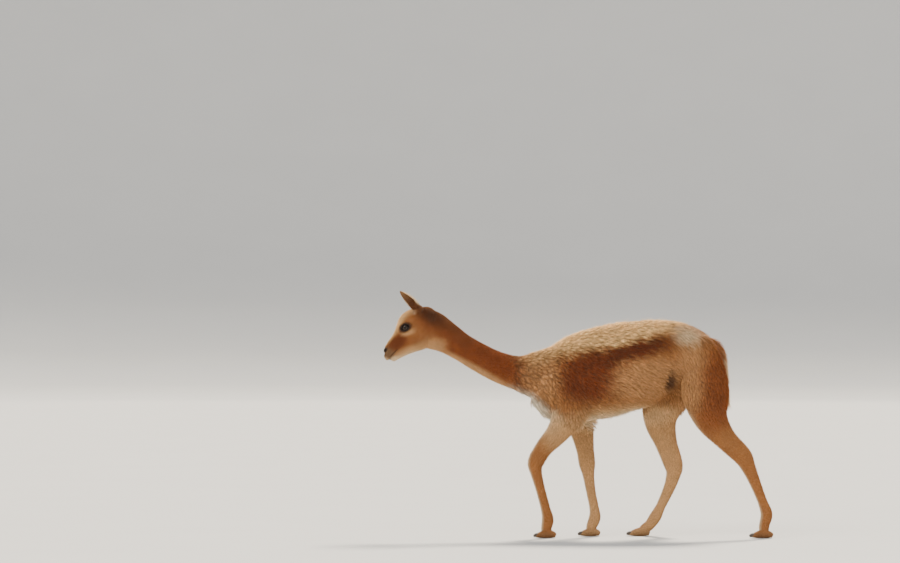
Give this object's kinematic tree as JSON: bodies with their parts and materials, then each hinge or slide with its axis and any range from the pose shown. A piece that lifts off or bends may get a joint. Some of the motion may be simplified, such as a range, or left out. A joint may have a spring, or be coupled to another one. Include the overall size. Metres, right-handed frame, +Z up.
{
  "type": "vicuna",
  "caption": "Life-size still vicuna, walking with its head carried low: slim neck, deep chest, arched back, long legs and padded cloven feet.",
  "frame": {"origin": "on the floor, under the middle of the whole animal's box", "axes": "+X towards the tail, so the head points to -X; +Y towards the animal's right side; +Z up"},
  "size_m": [1.6517, 0.2774, 1.0469],
  "materials": {
    "coat": "soft cinnamon fleece, matt, paler low on the flanks and legs",
    "pale_coat": "long soft cream hair, matt",
    "eye": "dark brown, polished",
    "nail": "dark horn, satin"
  },
  "bodies": {
    "root": {"head": "coat", "neck": "coat", "torso": "coat", "tail": "pale_coat", "ear_left": "coat", "ear_right": "coat", "eye_left": "eye", "eye_right": "eye", "leg_front_left_upper": "coat", "leg_front_left_lower": "coat", "leg_front_left_foot": "coat", "leg_front_right_upper": "coat", "leg_front_right_lower": "coat", "leg_front_right_foot": "coat", "leg_hind_left_upper": "coat", "leg_hind_left_lower": "coat", "leg_hind_left_foot": "coat", "leg_hind_right_upper": "coat", "leg_hind_right_lower": "coat", "leg_hind_right_foot": "coat", "nail_front_left_a": "nail", "nail_front_left_b": "nail", "nail_front_right_a": "nail", "nail_front_right_b": "nail", "nail_hind_left_a": "nail", "nail_hind_left_b": "nail", "nail_hind_right_a": "nail", "nail_hind_right_b": "nail"}
  },
  "joints": []
}
